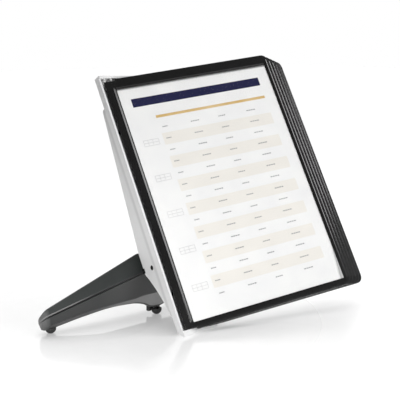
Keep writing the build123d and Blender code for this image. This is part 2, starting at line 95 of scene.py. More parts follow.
window_left = panel_left + hinge_bar
window_right = window_left + window_width
window_low = panel_low + bottom_bar
window_high = window_low + window_height
window_top = window_high + shade_rise
panel_right = window_right + free_bar
panel_high = window_high + top_bar
hinge_low = panel_low + notch_height

# Paper sheets and the films that hold them
paper_width = 210.0
paper_height = 297.0
paper_thickness = 0.25
paper_play = 0.2
pocket_play = 0.5
film_face = 0.375
film_wave = 0.04
film_wave_length = 14.0
film_edge_inset = 3.0
film_columns = 14
film_rows = 20
pocket_left = window_left - (paper_width + pocket_play - window_width) / 2
pocket_low = window_low - (paper_height + pocket_play - window_height) / 2
pocket_high = pocket_low + paper_height + pocket_play

# Print, measured from the sheet's left and top edges
ink_thickness = 0.02
band_left = 16.0
band_drop = 18.0
band_width = 176.0
band_height = 11.0
table_left = 40.0
table_width = 152.0
rule_drop = 43.5
rule_height = 3.4
rows_drop = 52.0
row_pitch = 15.0
row_count = 15
dash_columns = [44.0, 82.0, 120.0, 160.0]
dash_widths = [7.0, 12.0, 10.0, 13.0]
dash_height = 1.2
dash_rise = 1.0
marks_per_dash = 4
mark_share = 0.72
box_left = 14.0
box_drop = 72.0
box_pitch = 45.0
box_count = 5
box_width = 20.0
box_height = 8.0
box_line = 0.5
box_uprights = [0.0, 0.3, 0.6, 1.0]
box_levels = [0.0, 0.5, 1.0]

# Leaning holder, and the painted shade along the joint between its channel and its spine
lean = math.radians(60.0)
holder_reach = 84.0
spine_depth = 34.5
joint_depth = 12.3
joint_shade_blur = 4.6
channel_edge = 0.35
plate_edge = 0.5

# Base: height of the seam and of the crest up the spine, and the legs out to their tips
base_gap = 0.3
seam_at_spine = 91.5
crest_at_spine = 118.6
half_span = 148.0
base_thickness = 37.0
tip_thickness = 20.5
tip_front = 9.5
tip_crest = 28.0
tip_seam = 20.9
crest_slope = 4.0
crease_setback = 1.0
crease_line = 0.6
hub_setback = 6.0
tip_setback = 8.0
top_fall = 0.85
rear_seam_drop = 6.0
tip_round = 9.0
tip_turn = math.radians(75.0)
tip_drop = 1.3
tip_lift = 0.2
tip_waist = 19.0
tip_lean = 6.0
tip_lean_start = 24.0
tip_steps = 8
leg_steps = 48
groove_width = 1.8
groove_depth = 2.4
apex_round = 12.0
arch_reach = 33.0
arch_height = 17.6

# Reach at which the crest levels off towards the spine
crest_flat = 23.0

# Rounding of the legs' section at its corners
section_steps = 4
seam_round = 1.3
crest_round = 1.6
rear_crest_round = 3.0
rear_seam_round = 0.6
step_round = 0.5
low_front_round = 3.6
low_rear_round = 1.5

# Legs' underside, from the middle outwards: distance, height of the edge, height of the crease
underside = [
    (0.0, 7.6, 29.0), (10.0, 8.8, 28.6), (16.5, 13.4, 28.3), (24.0, 16.1, 27.4),
    (arch_reach, arch_height, 25.6), (61.0, 17.6, 23.2), (96.0, 12.6, 19.6), (half_span, 3.6, 11.0),
]

# Lug between the base and the spine
lug_half = 25.2
lug_low = 84.5
lug_high = 90.3
lug_reach = 2.6
lug_entry = 2.2

# Posts under the middle, as distance across, distance back, radius, lowest and highest level
posts = [(0.0, 4.0, 4.6, 5.4, 16.0), (-8.0, 4.5, 3.0, 4.2, 20.0), (8.0, 9.0, 3.0, 4.2, 20.0)]
post_rim = 0.6
post_roundness = 0.999

# Shading of the meshes
sharp_angle = math.radians(42.0)

# Softened edges of the metal solids
weld_reach = 0.01
flat_angle = math.radians(0.5)
edge_angle = math.radians(35.0)
edge_segments = 3

# Painted light on the base's plastic: distances from the middle where it is palest and where it is darkest
hub_painted_light = (10.0, 80.0)
tip_painted_light = (149.0, 137.0)
seam_painted_highlight = (112.0, 84.0)

# Surfaces: scale of the broad clouds and of the fine grain in each kind, and a noise's dark and light ends
cloud_scale = 40.0
table_grain = 300.0
film_grain = 900.0
paper_grain = 1500.0
metal_grain = 1800.0
plastic_grain = 2200.0
gloss_grain = 2500.0
rubber_grain = 2600.0
paint_grain = 3000.0
grain_detail = 3.0
bump_depth = 0.0001
noise_low = 0.3
noise_high = 0.7


# Outlines and meshes

def rounded_outline(corners, steps=6):
    """Closed outline through corners, each given as x, y and corner radius."""
    outline = []
    for index, (x, y, radius) in enumerate(corners):
        corner = Vector((x, y))
        if radius == 0:
            outline.append(corner)
            continue
        before = (Vector(corners[index - 1][:2]) - corner).normalized()
        after = (Vector(corners[(index + 1) % len(corners)][:2]) - corner).normalized()
        half = before.angle(after) / 2
        reach = radius / math.tan(half)
        centre = corner + (before + after).normalized() * (radius / math.sin(half))
        first = corner + before * reach - centre
        last = corner + after * reach - centre
        turn = math.atan2(first.x * last.y - first.y * last.x, first.dot(last))
        for step in range(steps + 1):
            outline.append(centre + Matrix.Rotation(turn * step / steps, 2) @ first)
    return outline


def inset_outline(points, inset):
    """Outline moved to its left by an inset, with mitred corners."""
    moved = []
    for index, point in enumerate(points):
        into = (point - points[index - 1]).normalized()
        out = (points[(index + 1) % len(points)] - point).normalized()
        normal = Vector((-into.y, into.x))
        other = Vector((-out.y, out.x))
        moved.append(point + (normal + other) * (inset / (1 + normal.dot(other))))
    return moved


def soft_edge(low, high, radius, steps=3):
    """Rows of inset and height up an edge that is rounded at its top."""
    rows = [(0, low)]
    for step in range(steps + 1):
        angle = QUARTER_TURN * step / steps
        rows.append((radius * (1 - math.cos(angle)), high - radius * (1 - math.sin(angle))))
    return rows


def flipped(rows):
    """Edge rows mirrored to the other side of their plate."""
    return [(inset, -height) for inset, height in rows]


def bridge(mesh, rings):
    """Join closed rings of as many points with quads."""
    for first, last in zip(rings, rings[1:]):
        for index in range(len(first)):
            mesh.faces.new((first[index - 1], first[index], last[index], last[index - 1]))


def cap(mesh, loops):
    """Close a flat opening, with holes where there is more than one loop."""
    corners = [corner for loop in loops for corner in loop]
    for triangle in tessellate_polygon([[corner.co for corner in loop] for loop in loops]):
        mesh.faces.new([corners[index] for index in triangle])


def add_plate(mesh, place, outlines):
    """Add a plate. Each outline has its edge rows, and holes run the other way round."""
    first_loops = []
    last_loops = []
    for points, rows in outlines:
        rings = []
        for inset, height in rows:
            moved = inset_outline(points, inset)
            rings.append([mesh.verts.new(place(x, y, height)) for x, y in moved])
        bridge(mesh, rings)
        first_loops.append(rings[0])
        last_loops.append(rings[-1])
    cap(mesh, first_loops)
    cap(mesh, last_loops)


def add_block(mesh, place, low, high):
    """Add a box between two corners."""
    corners = [(low[0], low[1]), (high[0], low[1]), (high[0], high[1]), (low[0], high[1])]
    outline = [Vector(corner) for corner in corners]
    add_plate(mesh, place, [(outline, [(0, low[2]), (0, high[2])])])


def paint(faces, finishes, finish):
    """Give faces one of the finishes of their piece."""
    number = finishes.index(finish)
    for face in faces:
        face.material_index = number


def piece(name, mesh, finishes, body, slot, *replaced):
    """Turn a finished mesh into a piece that rides on a body and stands for its nodes."""
    bmesh.ops.recalc_face_normals(mesh, faces=mesh.faces)
    bmesh.ops.scale(mesh, vec=(MM, MM, MM), verts=mesh.verts)
    data = bpy.data.meshes.new(name)
    mesh.to_mesh(data)
    mesh.free()
    data.shade_smooth()
    data.set_sharp_from_angle(angle=sharp_angle)
    for finish in finishes:
        data.materials.append(finish)
    made = bpy.data.objects.new(name, data)
    bpy.context.scene.collection.objects.link(made)
    shading = made.modifiers.new("even_shading", "WEIGHTED_NORMAL")
    shading.keep_sharp = True
    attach(made, body)
    if replaced:
        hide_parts(*replaced)
    return made


# Shader nodes

def object_point(tree):
    """Output with the shaded point in the part's frame."""
    return tree.nodes.new("ShaderNodeTexCoord").outputs["Object"]


def vector_number(tree, operation, vector, other):
    """Output with a number worked out from two vectors, such as their dot product."""
    node = tree.nodes.new("ShaderNodeVectorMath")
    node.operation = operation
    node.inputs[1].default_value = other
    tree.links.new(vector, node.inputs[0])
    return node.outputs["Value"]


def absolute(tree, value):
    """Output with a value's size, whatever its sign."""
    node = tree.nodes.new("ShaderNodeMath")
    node.operation = "ABSOLUTE"
    tree.links.new(value, node.inputs[0])
    return node.outputs["Value"]


def mapped(tree, value, span, onto, interpolation="LINEAR"):
    """Output that carries one span of a value onto another, and stays level past its ends."""
    node = tree.nodes.new("ShaderNodeMapRange")
    node.interpolation_type = interpolation
    node.inputs["From Min"].default_value = span[0]
    node.inputs["From Max"].default_value = span[1]
    node.inputs["To Min"].default_value = onto[0]
    node.inputs["To Max"].default_value = onto[1]
    tree.links.new(value, node.inputs["Value"])
    return node.outputs["Result"]


# Materials

def grey(level):
    """Neutral colour of one level."""
    return (level, level, level)


def grained(name, dark, light, rough, grain, bump, metallic=0.0, specular=0.5):
    """Surface whose colour, gloss and height vary with a fine grain and broad clouds."""
    made = bpy.data.materials.new(name)
    made.use_nodes = True
    tree = made.node_tree
    shader = tree.nodes["Principled BSDF"]
    shader.inputs["Metallic"].default_value = metallic
    shader.inputs["Specular IOR Level"].default_value = specular
    place = object_point(tree)
    fine = tree.nodes.new("ShaderNodeTexNoise")
    fine.inputs["Scale"].default_value = grain
    fine.inputs["Detail"].default_value = grain_detail
    broad = tree.nodes.new("ShaderNodeTexNoise")
    broad.inputs["Scale"].default_value = cloud_scale
    for texture in (fine, broad):
        tree.links.new(place, texture.inputs["Vector"])
    ramp = tree.nodes.new("ShaderNodeValToRGB")
    ramp.color_ramp.elements[0].position = noise_low
    ramp.color_ramp.elements[0].color = (*dark, 1)
    ramp.color_ramp.elements[1].position = noise_high
    ramp.color_ramp.elements[1].color = (*light, 1)
    tree.links.new(broad.outputs["Fac"], ramp.inputs["Fac"])
    tree.links.new(ramp.outputs["Color"], shader.inputs["Base Color"])
    gloss = mapped(tree, fine.outputs["Fac"], (noise_low, noise_high), rough)
    tree.links.new(gloss, shader.inputs["Roughness"])
    relief = tree.nodes.new("ShaderNodeBump")
    relief.inputs["Strength"].default_value = bump
    relief.inputs["Distance"].default_value = bump_depth
    tree.links.new(fine.outputs["Fac"], relief.inputs["Height"])
    tree.links.new(relief.outputs["Normal"], shader.inputs["Normal"])
    return made


def clear_film():
    """Thin clear plastic with a light haze."""
    made = grained("clear_film", (0.9, 0.91, 0.92), (0.96, 0.96, 0.97), (0.1, 0.2), film_grain, 0.02)
    shader = made.node_tree.nodes["Principled BSDF"]
    shader.inputs["Alpha"].default_value = 0.008
    return made


def soft_shade():
    """Painted shadow of a panel's top bar: a dark strip that fades out below it."""
    made = grained("soft_shade", grey(0.01), grey(0.015), (0.4, 0.5), film_grain, 0.02)
    tree = made.node_tree
    up = (0, math.cos(lean), math.sin(lean))
    level = vector_number(tree, "DOT_PRODUCT", object_point(tree), up)
    top = window_top - holder_reach * math.cos(lean)
    span = ((top - shade_height) * MM, (top - shade_full) * MM)
    # Painted shadow: densest just below the top bar, fading out downwards
    shade = mapped(tree, level, span, (0.0, shade_density), "SMOOTHSTEP")
    tree.links.new(shade, tree.nodes["Principled BSDF"].inputs["Alpha"])
    return made


def painted_light_plastic(name, dark, light, light_span):
    """Base plastic with painted light that makes it paler towards one of two distances from the middle."""
    made = grained(name, dark, light, (0.38, 0.55), plastic_grain, 0.3, specular=0.4)
    tree = made.node_tree
    parts = tree.nodes.new("ShaderNodeSeparateXYZ")
    tree.links.new(object_point(tree), parts.inputs["Vector"])
    reach = absolute(tree, parts.outputs["X"])
    pale_reach, dark_reach = light_span
    light_fac = mapped(tree, reach, (pale_reach * MM, dark_reach * MM), (noise_high, noise_low))
    tree.links.new(light_fac, tree.nodes["Color Ramp"].inputs["Fac"])
    return made


def joint_shaded_metal():
    """Silver paint with painted shade that darkens it along the joint between the channel and the spine."""
    made = grained("joint_shaded_paint", grey(0.56), grey(0.69), (0.32, 0.42), paint_grain, 0.1)
    tree = made.node_tree
    back = (0, math.sin(lean), -math.cos(lean))
    depth = vector_number(tree, "DOT_PRODUCT", object_point(tree), back)
    away = tree.nodes.new("ShaderNodeMath")
    away.operation = "SUBTRACT"
    away.inputs[1].default_value = (joint_depth - holder_reach * math.sin(lean)) * MM
    tree.links.new(depth, away.inputs[0])
    gap = absolute(tree, away.outputs["Value"])
    # Painted shade: darkest at the joint, clearing within the blur on either side
    shadow = mapped(tree, gap, (0.0, joint_shade_blur * MM), (noise_low, noise_high), "SMOOTHSTEP")
    tree.links.new(shadow, tree.nodes["Color Ramp"].inputs["Fac"])
    return made


black_plastic = grained("black_plastic", grey(0.0075), grey(0.0105), (0.15, 0.23), gloss_grain, 0.1)
base_plastic = grained(
    "base_plastic", (0.025, 0.0285, 0.0275), (0.032, 0.036, 0.035), (0.4, 0.58), plastic_grain, 0.35,
    specular=0.4,
)
# Base plastics with painted light: the hub strip and lower shell lit from the floor, the lit tips, and a
# painted highlight along the seam edge
pale_plastic = painted_light_plastic("pale_plastic", grey(0.06), grey(0.27), hub_painted_light)
lower_plastic = painted_light_plastic("lower_plastic", (0.028, 0.029, 0.029), grey(0.075), hub_painted_light)
tip_plastic = painted_light_plastic("tip_plastic", (0.03, 0.032, 0.032), grey(0.14), tip_painted_light)
seam_plastic = painted_light_plastic("seam_plastic", (0.03, 0.034, 0.033), grey(0.17), seam_painted_highlight)
silver_paint = grained("silver_paint", grey(0.7), grey(0.75), (0.32, 0.42), paint_grain, 0.1)
joint_shaded_paint = joint_shaded_metal()
steel = grained("steel", (0.5, 0.5, 0.52), (0.62, 0.62, 0.63), (0.22, 0.4), metal_grain, 0.15, metallic=1.0)
dark_steel = grained("dark_steel", grey(0.004), grey(0.008), (0.5, 0.6), metal_grain, 0.15, specular=0.2)
rubber = grained("rubber", grey(0.01), grey(0.018), (0.5, 0.7), rubber_grain, 0.3)
bush_plastic = grained("bush_plastic", grey(0.6), grey(0.7), (0.4, 0.5), plastic_grain, 0.2)
film = clear_film()
top_shade = soft_shade()
paper = grained("paper", grey(0.86), (0.9, 0.9, 0.89), (0.7, 0.9), paper_grain, 0.2, specular=0.2)
navy_ink = grained(
    "navy_ink", (0.009, 0.01, 0.05), (0.012, 0.013, 0.06), (0.7, 0.9), paper_grain, 0.1, specular=0.1
)
ochre_ink = grained("ochre_ink", (0.62, 0.4, 0.12), (0.72, 0.52, 0.25), (0.5, 0.7), paper_grain, 0.1)
beige_ink = grained("beige_ink", (0.82, 0.795, 0.745), (0.85, 0.825, 0.775), (0.7, 0.9), paper_grain, 0.1)
grey_ink = grained("grey_ink", (0.2, 0.2, 0.21), (0.32, 0.32, 0.33), (0.6, 0.8), paper_grain, 0.1)
pale_ink = grained("pale_ink", grey(0.58), grey(0.66), (0.6, 0.8), paper_grain, 0.1)
# Grey standing in for the shade in the gap beside the sheet's lower corner
gap_shade_grey = grained("gap_shade_grey", grey(0.46), grey(0.5), (0.6, 0.8), paper_grain, 0.1)


# Panels

def page_place(number):
    """Function from a panel's own across, up and out sizes to a point of the part's frame."""
    turn = joints[f"panel_{number}_turn"]
    pivot = Vector(turn["pos_m"]) / MM
    up = -Vector(turn["axis"])
    across = Vector(joints[f"sheet_{number}_slide"]["axis"])
    facing = across.cross(up)

    def place(u, v, w):
        return pivot + across * u + up * v + facing * w

    return place


def add_rib(mesh, place, crest, top, fall, drop):
    """Add the raised rib that runs up a side bar, steep on its left and drawn in at both ends."""
    profile = rounded_outline([(-rib_rise, 0, 0), (fall, -drop, 0), (0, rib_height, rib_crest)])
    stations = []
    for step in range(1, rib_end_steps + 1):
        angle = QUARTER_TURN * step / rib_end_steps
        stations.append((fall * (1 - math.cos(angle)), math.sin(angle)))
    levels = [(window_low + rise, full) for rise, full in stations]
    levels += [(top - rise, full) for rise, full in reversed(stations)]
    base = frame_thickness / 2
    rings = []
    for level, full in levels:
        rings.append([
            mesh.verts.new(place(crest + side * full, level, base + rise * full)) for side, rise in profile
        ])
    bridge(mesh, rings)
    cap(mesh, rings[:1])
    cap(mesh, rings[-1:])


def panel_frame(number):
    """Front and rear bars with rounded edges, the web between them and the ribs on the front."""
    place = page_place(number)
    outer = rounded_outline([
        (panel_left, hinge_low, notch_radius),
        (notch_end, hinge_low, 0),
        (notch_end, panel_low, notch_radius),
        (panel_right, panel_low, corner_radius),
        (panel_right, panel_high, corner_radius),
        (notch_end, panel_high, notch_radius),
        (notch_end, hinge_high, 0),
        (panel_left, hinge_high, notch_radius),
    ])
    window = rounded_outline([
        (window_left, window_low, window_radius),
        (window_left, window_top, window_radius),
        (window_right, window_top, window_radius),
        (window_right, window_low, window_radius),
    ])
    half = frame_thickness / 2
    pocket_face = pocket_thickness / 2
    outer_rows = soft_edge(pocket_face, half, bar_edge)
    window_rows = [(0, pocket_face), (0, lip_face), (window_lip, lip_face), (window_bevel, half)]
    mesh = bmesh.new()
    add_plate(mesh, place, [(outer, outer_rows), (window, window_rows)])
    add_plate(mesh, place, [(outer, flipped(outer_rows)), (window, flipped(window_rows))])
    slot_end = panel_right - corner_radius / 2
    web = [
        (panel_left, hinge_low), (notch_end, hinge_low), (notch_end, panel_low),
        (panel_right - corner_radius, panel_low), (slot_end, pocket_low),
        (pocket_left, pocket_low), (pocket_left, pocket_high), (slot_end, pocket_high),
        (panel_right - corner_radius, panel_high), (notch_end, panel_high),
        (notch_end, hinge_high), (panel_left, hinge_high),
    ]
    web_rows = [(web_inset, -pocket_face), (web_inset, pocket_face)]
    add_plate(mesh, place, [([Vector(corner) for corner in web], web_rows)])
    free_rib_top = panel_high - free_rib_top_inset
    add_rib(mesh, place, panel_right - free_rib_inset, free_rib_top, free_rib_fall, 0)
    hinge_fall = window_bevel - window_lip
    add_rib(mesh, place, window_left - window_bevel, window_top, hinge_fall, half - lip_face)
    name = f"panel_{number}"
    piece(f"{name}_bars", mesh, [black_plastic], name, "frame_plastic", f"{name}_frame")


def panel_shade(number):
    """Painted shadow on the front film below the top bar, and a grey wedge of painted shade in the gap
    beside the sheet's lower corner.
    """
    place = page_place(number)
    face = pocket_thickness / 2
    finishes = [top_shade, gap_shade_grey]
    mesh = bmesh.new()
    low = (window_left, window_top - shade_height, face)
    add_block(mesh, place, low, (window_right, window_top, face + ink_thickness))
    # Grey wedge of painted shade in the gap beside the sheet's lower corner
    before = len(mesh.faces)
    gap = [
        Vector((window_right - gap_width, window_low)),
        Vector((window_right, window_low)),
        Vector((window_right, window_low + gap_height)),
    ]
    add_plate(mesh, place, [(gap, [(0, face), (0, face + ink_thickness)])])
    paint(list(mesh.faces)[before:], finishes, gap_shade_grey)
    name = f"panel_{number}"
    piece(f"{name}_top_shade", mesh, finishes, name, "frame_plastic")


def panel_films(number):
    """Two clear films with a slight wave, each one thin sheet, at the front and the rear of the pocket."""
    place = page_place(number)
    across = panel_right - film_edge_inset - pocket_left
    rise = pocket_high - pocket_low
    mesh = bmesh.new()
    for face in (film_face, -film_face):
        lines = []
        for row in range(film_rows + 1):
            v = pocket_low + rise * row / film_rows
            line = []
            for column in range(film_columns + 1):
                u = pocket_left + across * column / film_columns
                wave = film_wave * math.sin(u / film_wave_length) * math.cos(v / film_wave_length)
                line.append(mesh.verts.new(place(u, v, face + wave)))
            lines.append(line)
        for low, high in zip(lines, lines[1:]):
            for index in range(film_columns):
                mesh.faces.new((low[index], low[index + 1], high[index + 1], high[index]))
    name = f"panel_{number}"
    films = [f"{name}_front_film", f"{name}_rear_film"]
    made = piece(f"{name}_clear_films", mesh, [film], name, "clear_film", *films)
    made.visible_shadow = False
    made.visible_diffuse = False


def printed_sheet(number):
    """Paper sheet with a plain printed table: a band, a rule, tinted rows, grey dashes and faint boxes."""
    place = page_place(number)
    left = pocket_left + paper_play
    top = pocket_low + paper_play + paper_height
    front = paper_thickness / 2
    finishes = [paper, navy_ink, ochre_ink, beige_ink, grey_ink, pale_ink]
    mesh = bmesh.new()
    add_block(mesh, place, (left, top - paper_height, -front), (left + paper_width, top, front))

    def patch(ink, x, y, width, height, layer=1):
        before = len(mesh.faces)
        low = (left + x, top - y - height, front)
        high = (left + x + width, top - y, front + ink_thickness * layer)
        add_block(mesh, place, low, high)
        paint(list(mesh.faces)[before:], finishes, ink)

    patch(navy_ink, band_left, band_drop, band_width, band_height)
    patch(ochre_ink, table_left, rule_drop, table_width, rule_height)
    for row in range(row_count):
        row_top = rows_drop + row * row_pitch
        if row % 2:
            patch(beige_ink, table_left, row_top, table_width, row_pitch)
        dash_top = row_top + row_pitch / 2 - dash_rise
        for column, width in zip(dash_columns, dash_widths):
            share = width / marks_per_dash
            for mark in range(marks_per_dash):
                patch(grey_ink, column + mark * share, dash_top, share * mark_share, dash_height, layer=2)
    for box in range(box_count):
        box_top = box_drop + box * box_pitch
        for share in box_uprights:
            patch(pale_ink, box_left + (box_width - box_line) * share, box_top, box_line, box_height)
        for share in box_levels:
            patch(pale_ink, box_left, box_top + (box_height - box_line) * share, box_width, box_line)
    name = f"panel_{number}"
    piece(f"{name}_printed_sheet", mesh, finishes, f"sheet_{number}", "paper", f"{name}_sheet")


# Base

def blend(first, last, share):
    """Point between two points."""
    return tuple(a + (b - a) * share for a, b in zip(first, last))


def to_yz(depth, level):
    """A point of the leaning holder's side view, as upright Y and Z."""
    y = -holder_reach + depth * math.sin(lean) + level * math.cos(lean)
    return (y, level * math.sin(lean) - depth * math.cos(lean))


def at_spine(z):
    """The point of a height just behind the spine."""
    depth = spine_depth + base_gap
    return to_yz(depth, (z + depth * math.cos(lean)) / math.sin(lean))


mid_seam = to_yz(spine_depth + base_gap, seam_at_spine)
mid_crest = to_yz(spine_depth + base_gap, crest_at_spine)


def smooth_underside(reach):
    """Heights of the leg's lower edge and front crease, on a smooth curve through its stations."""
    stations = [(-x, edge, crease) for x, edge, crease in underside[1:2]] + underside
    stations.append((2 * half_span - underside[-2][0], *underside[-1][1:]))
    span = 1
    while reach > stations[span + 1][0] and span < len(stations) - 3:
        span += 1
    before, first, last, after = stations[span - 1:span + 3]
    gap = last[0] - first[0]
    t = (reach - first[0]) / gap
    heights = []
    for axis in (1, 2):
        slope_in = (last[axis] - before[axis]) / (last[0] - before[0]) * gap
        slope_out = (after[axis] - first[axis]) / (after[0] - first[0]) * gap
        heights.append(
            (2 * t ** 3 - 3 * t ** 2 + 1) * first[axis] + (t ** 3 - 2 * t ** 2 + t) * slope_in
            + (3 * t ** 2 - 2 * t ** 3) * last[axis] + (t ** 3 - t ** 2) * slope_out
        )
    return heights


def leg_points(reach):
    """Corners of the leg's section: seam, crests, rear seam, lower edges and front crease."""
    eased = reach if reach > apex_round else (reach ** 2 / apex_round + apex_round) / 2
    share = eased / half_span
    edge, crease = smooth_underside(reach)
    depth = base_thickness + (tip_thickness - base_thickness) * share
    seam = blend(mid_seam, (tip_front, tip_seam), share)
    tip = (tip_front + crest_slope, tip_crest)
    line = blend(mid_crest, tip, share)
    crest = line
    if reach < crest_flat:
        level = blend(mid_crest, tip, crest_flat / half_span)
        nest = at_spine(level[1])
        crest = blend(nest, level, reach / crest_flat)
    rear = seam[0] + depth
    rear_seam = (rear, seam[1] - rear_seam_drop)
    rear_crest = (rear - crest_slope, line[1] - top_fall * (rear - crest_slope - line[0]))
    setback = hub_setback + (tip_setback - hub_setback) * share
    low_front = (seam[0] + setback, edge)
    low_rear = (rear - crest_slope, edge if reach > arch_reach else arch_height)
    front_crease = (seam[0] + crease_setback, crease)
    return seam, crest, rear_crest, rear_seam, low_rear, low_front, front_crease


def shrink(points, inset):
    """Draw a section in towards its middle, for the tip that falls off at its top."""
    middle_y = (points[0][0] + points[3][0]) / 2
    waist = points[6][1]
    reach_y = max(abs(y - middle_y) for y, z in points)
    keep_y = (reach_y - inset) / reach_y
    keep_top = 1 - inset * tip_drop / (points[1][1] - waist)
    keep_low = 1 - inset * tip_lift / (waist - points[5][1])
    drawn = []
    for y, z in points:
        keep_z = keep_top if z > waist else keep_low
        drawn.append((middle_y + (y - middle_y) * keep_y, waist + (z - waist) * keep_z))
    return drawn


def tip_slant(reach, z):
    """How far the leg's end leans in below its waist."""
    ramp = max(0, reach - half_span + tip_lean_start) / tip_lean_start
    return tip_lean * ramp * max(0, tip_waist - z) / tip_waist


def leg_sections():
    """Sections of one leg from the middle to the rounded tip, as reach and corners."""
    straight = half_span - tip_round
    sections = []
    for step in range(leg_steps):
        reach = straight * step / leg_steps
        sections.append((reach, leg_points(reach)))
    for step in range(tip_steps + 1):
        turn = tip_turn * step / tip_steps
        reach = straight + tip_round * math.sin(turn)
        sections.append((reach, shrink(leg_points(reach), tip_round * (1 - math.cos(turn)))))
    return sections


def beyond(start, end, extra):
    """The point that lies past end, on the line from start."""
    size = math.hypot(end[0] - start[0], end[1] - start[1])
    return blend(start, end, 1 + extra / size)


def upper_corners(points):
    """Corners and radii of the upper shell's section."""
    seam, crest, rear_crest, rear_seam = points[0:4]
    return [
        (*seam, seam_round),
        (*crest, crest_round),
        (*rear_crest, rear_crest_round),
        (*rear_seam, rear_seam_round),
    ]


def facing_corners(points):
    """Corners and radii of the lower shell's front face: the groove below the seam, then the crease."""
    seam, rear_seam, low_front, crease = points[0], points[3], points[5], points[6]
    step = beyond(crease, seam, -groove_width)
    return [
        (*beyond(rear_seam, seam, -groove_depth), 0),
        (step[0] + groove_depth, step[1], 0),
        (*step, step_round),
        (*beyond(seam, crease, -crease_line), 0),
        (crease[0] + crease_line, crease[1], 0),
        (*beyond(low_front, crease, -crease_line), 0),
    ]


def lower_corners(points):
    """Corners and radii of the lower shell's section: front face, underside and the rear groove."""
    seam, rear_seam, low_rear, low_front = points[0], points[3], points[4], points[5]
    step = beyond(low_rear, rear_seam, -groove_width)
    return facing_corners(points) + [
        (*low_front, low_front_round),
        (*low_rear, low_rear_round),
        (*step, step_round),
        (step[0] - groove_depth, step[1], 0),
        (*beyond(seam, rear_seam, -groove_depth), 0),
    ]


def loft_shell(mesh, corners_of):
    """Loft a shell of both legs from tip to tip. Gives its strips along the legs, and the tips' faces."""
    sections = leg_sections()
    both = [(-1, *section) for section in reversed(sections)] + [(1, *section) for section in sections[1:]]
    rings = []
    for side, reach, points in both:
        outline = rounded_outline(corners_of(points), section_steps)
        rings.append([mesh.verts.new((side * (reach - tip_slant(reach, z)), y, z)) for y, z in outline])
    bridge(mesh, rings)
    sides = list(mesh.faces)
    cap(mesh, rings[:1])
    cap(mesh, rings[-1:])
    around = len(rings[0])
    tip_faces = tip_steps * around
    strips = [sides[start::around] for start in range(around)]
    tips = sides[:tip_faces] + sides[-tip_faces:] + list(mesh.faces)[len(sides):]
    return strips, tips


def lug_place(x, depth, level):
    """A point of the lug, measured across, behind and up the leaning holder."""
    return (x, *to_yz(depth, level))


def upright_place(x, y, z):
    """A point of the part's frame as it stands."""
    return (x, y, z)


def add_post(mesh, x, y, radius, low, high):
    """Add an upright round post with a softened lower rim."""
    corner_round = radius * post_roundness
    outline = rounded_outline([
        (x - radius, y - radius, corner_round),
        (x + radius, y - radius, corner_round),
        (x + radius, y + radius, corner_round),
        (x - radius, y + radius, corner_round),
    ])
    add_plate(mesh, upright_place, [(outline, [(0, high), (0, low + post_rim), (post_rim, low)])])


def upper_cover():
    """Upper shell of the base, with a painted highlight along its edge above the seam and the dark lug at
    the spine.
    """
    finishes = [base_plastic, tip_plastic, seam_plastic, black_plastic]
    mesh = bmesh.new()
    strips, tips = loft_shell(mesh, upper_corners)
    # Tips painted paler as light falling on their ends
    paint(tips, finishes, tip_plastic)
    # Painted highlight along the rounded edge above the seam
    for strip in strips[1:section_steps + 1]:
        paint(strip, finishes, seam_plastic)
    before = len(mesh.faces)
    behind = spine_depth + base_gap / 2
    low = (-lug_half, behind - lug_entry, lug_low)
    add_block(mesh, lug_place, low, (lug_half, behind + lug_reach, lug_high))
    paint(list(mesh.faces)[before:], finishes, black_plastic)
    piece("base_upper_cover", mesh, finishes, "stand", "base_plastic", "base_upper_shell")


def lower_cover():
    """Lower shell of the base, with its strip below the crease painted pale as light from the floor, and
    the posts under the middle, black as painted shade.
    """
    finishes = [lower_plastic, pale_plastic, tip_plastic, black_plastic]
    mesh = bmesh.new()
    strips, tips = loft_shell(mesh, lower_corners)
    pale_strip = len(rounded_outline(facing_corners(leg_points(0.0)), section_steps))
    # Strip below the crease painted pale as light from the floor, palest at the hub
    paint(strips[pale_strip], finishes, pale_plastic)
    # Tips painted paler as light falling on their ends
    paint(tips, finishes, tip_plastic)
    # The posts take the black finish as painted shade under the hub
    before = len(mesh.faces)
    for post in posts:
        add_post(mesh, *post)
    paint(list(mesh.faces)[before:], finishes, black_plastic)
    piece("base_lower_cover", mesh, finishes, "stand", "base_plastic", "base_lower_shell")


# Metal parts and small parts keep their solids

def dress(node, finish):
    """Give a solid its finish."""
    part = nodes[node]
    part.data.materials.clear()
    part.data.materials.append(finish)
    return part


def soften(node, width, finish):
    """Give a solid its finish and round its edges a little."""
    part = dress(node, finish)
    part.data.shade_smooth()
    weld = part.modifiers.new("weld", "WELD")
    weld.merge_threshold = weld_reach * MM
    flat = part.modifiers.new("flat", "DECIMATE")
    flat.decimate_type = "DISSOLVE"
    flat.angle_limit = flat_angle
    edges = part.modifiers.new("edges", "BEVEL")
    edges.width = width * MM
    edges.segments = edge_segments
    edges.limit_method = "ANGLE"
    edges.angle_limit = edge_angle
    edges.harden_normals = False
    shading = part.modifiers.new("even_shading", "WEIGHTED_NORMAL")
    shading.keep_sharp = True


for number in PANELS:
    panel_frame(number)
    panel_shade(number)
    printed_sheet(number)
    panel_films(number)
    dress(f"panel_{number}_hinge_pins", steel)
    dress(f"panel_{number}_hinge_bush", bush_plastic)

upper_cover()
lower_cover()
soften("holder_channel", channel_edge, joint_shaded_paint)
soften("top_pivot_strip", plate_edge, silver_paint)
soften("bottom_pivot_strip", plate_edge, silver_paint)
soften("spine_shell", plate_edge, joint_shaded_paint)
dress("cross_pin", dark_steel)
dress("spine_screws", steel)
dress("base_screws", steel)
for foot in ("left_foot", "right_foot", "centre_foot"):
    dress(foot, rubber)


# Studio, in metres

